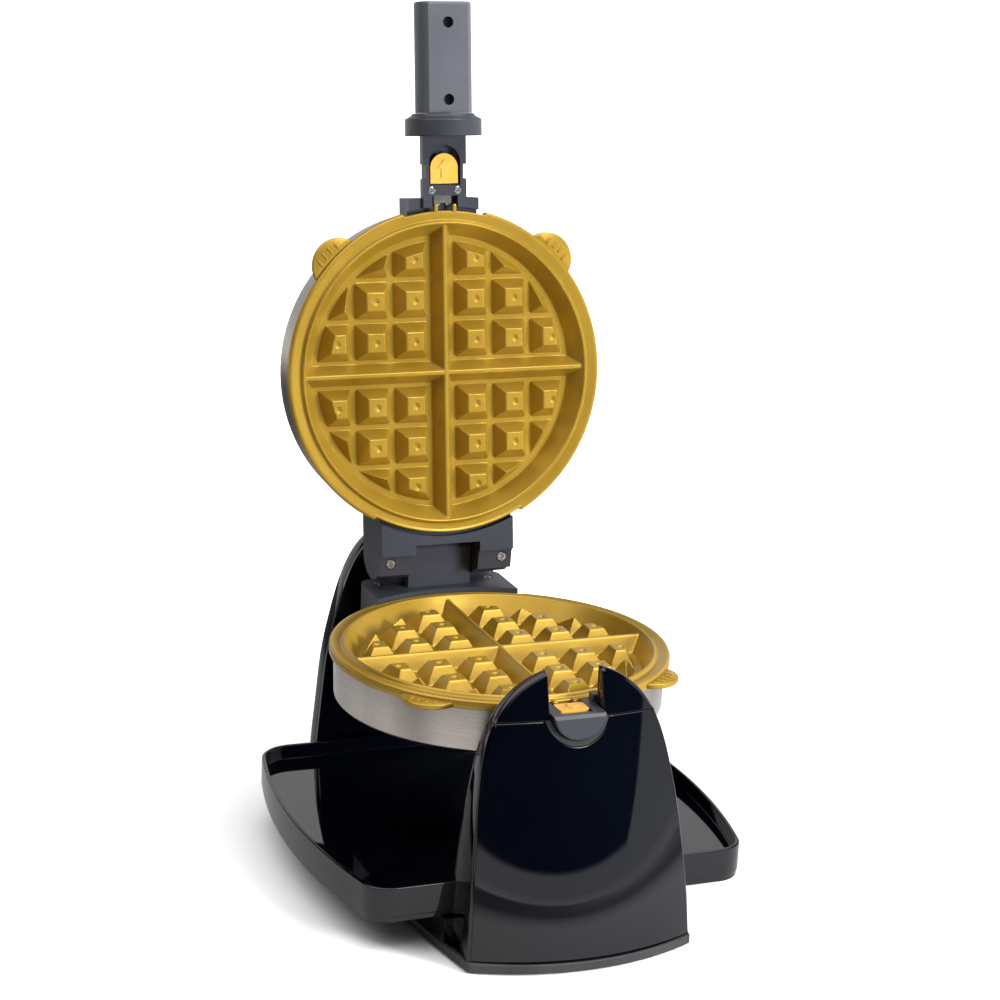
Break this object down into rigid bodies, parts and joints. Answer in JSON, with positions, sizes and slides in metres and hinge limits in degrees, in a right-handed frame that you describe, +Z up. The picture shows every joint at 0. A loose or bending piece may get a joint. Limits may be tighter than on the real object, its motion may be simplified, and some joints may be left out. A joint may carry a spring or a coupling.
{
  "type": "waffle maker",
  "caption": "Flip-over round waffle maker, lid open: gold grid plates in a steel head that turns between a front cradle and a rear tower, over a wide drip tray.",
  "frame": {"origin": "centre of the overall bounding box in plan (lid open), at the level the feet stand on", "axes": "+X towards the user's right as they face the handle side, +Y away from the user towards the hub tower, +Z up; the head turns about a line along Y 146.3 mm above the table"},
  "size_m": [0.266, 0.343, 0.5223],
  "materials": {
    "gloss_black": "polished",
    "underside_black": "matt",
    "rubber_black": "matt",
    "dark_satin": "satin",
    "brushed_shell": "brushed",
    "gold_plate": "satin non-stick coating",
    "amber_button": "satin",
    "plain_steel": "plain",
    "bright_screw": "bright",
    "black_screw": "black oxide",
    "cast_aluminium": "as cast",
    "element_sheath": "oxidised",
    "switch_metal": "plain",
    "nylon_white": "matt",
    "lamp_red": "translucent red"
  },
  "bodies": {
    "root": {"base_bottom_plate": "underside_black", "base_deck": "gloss_black", "base_screws": "bright_screw", "rubber_feet": "rubber_black", "front_tower_shell": "gloss_black", "front_tower_cap_left": "gloss_black", "front_tower_cap_right": "gloss_black", "front_inner_cover": "gloss_black", "cradle_liner": "underside_black", "rear_tower_shell": "gloss_black", "rear_inner_cover": "gloss_black", "rear_hub_cap": "gloss_black", "spindle_bush": "nylon_white", "cord_gland": "underside_black", "terminal_block": "nylon_white"},
    "tray": {"drip_tray": "gloss_black"},
    "lower_head": {"lower_shell": "brushed_shell", "lower_heater_plate": "cast_aluminium", "lower_heating_element": "element_sheath", "lower_heat_pan": "plain_steel", "lower_thermostat": "switch_metal", "thermal_fuse": "switch_metal", "lower_latch_block": "dark_satin", "lower_latch_screws": "bright_screw", "lower_button_spring": "bright_screw", "lower_hinge_block": "dark_satin", "lower_hinge_screws": "bright_screw", "hinge_knuckle": "dark_satin", "roll_spindle": "plain_steel", "spindle_clip": "plain_steel", "spindle_screws": "bright_screw"},
    "lower_release": {"lower_release_button": "amber_button", "lower_catch": "plain_steel"},
    "lower_plate": {"lower_grid": "gold_plate"},
    "lid": {"lid_shell": "brushed_shell", "lid_heater_plate": "cast_aluminium", "lid_heating_element": "element_sheath", "lid_heat_pan": "plain_steel", "lid_thermostat": "switch_metal", "lid_hinge_block": "dark_satin", "lid_hinge_cover": "dark_satin", "lid_hinge_screws": "bright_screw", "hinge_pin": "plain_steel", "indicator_lamps": "lamp_red", "upper_latch_block": "dark_satin", "upper_latch_screws": "bright_screw", "upper_button_spring": "bright_screw", "handle_collar": "dark_satin", "handle_grip": "dark_satin", "handle_cover": "dark_satin", "handle_core": "plain_steel", "handle_screws": "black_screw"},
    "upper_release": {"upper_release_button": "amber_button", "upper_catch": "plain_steel"},
    "upper_plate": {"upper_grid": "gold_plate"},
    "dial": {"browning_dial": "dark_satin"}
  },
  "joints": [
    {"name": "head_roll", "type": "hinge", "parent": "root", "child": "lower_head", "pos_m": [0, 0, 0.1463], "axis": [0, 1, 0], "range_deg": [0, 80]},
    {"name": "lid_hinge", "type": "hinge", "parent": "lower_head", "child": "lid", "pos_m": [0, 0.1095, 0.1713], "axis": [1, 0, 0], "range_deg": [0, 98.2]},
    {"name": "lower_button", "type": "slide", "parent": "lower_head", "child": "lower_release", "axis": [0, -1, 0], "range_m": [0, 0.0035], "stiffness_N_per_m": 300, "springref_m": -0.003, "deforming": ["lower_button_spring"]},
    {"name": "upper_button", "type": "slide", "parent": "lid", "child": "upper_release", "axis": [0, 0.1426, 0.9898], "range_m": [0, 0.0035], "stiffness_N_per_m": 300, "springref_m": -0.003, "deforming": ["upper_button_spring"]},
    {"name": "lower_grid_lift", "type": "slide", "parent": "lower_head", "child": "lower_plate", "axis": [0, 0, -1], "range_m": [-0.014, 0]},
    {"name": "upper_grid_lift", "type": "slide", "parent": "lid", "child": "upper_plate", "axis": [0, 0.9898, -0.1426], "range_m": [-0.025, 0]},
    {"name": "tray_slide", "type": "slide", "parent": "root", "child": "tray", "axis": [1, 0, 0], "range_m": [0, 0.2]},
    {"name": "dial_turn", "type": "hinge", "parent": "lid", "child": "dial", "pos_m": [0, 0.1324, 0.20538], "axis": [0, 0.9898, -0.1426], "range_deg": [0, 270]}
  ]
}
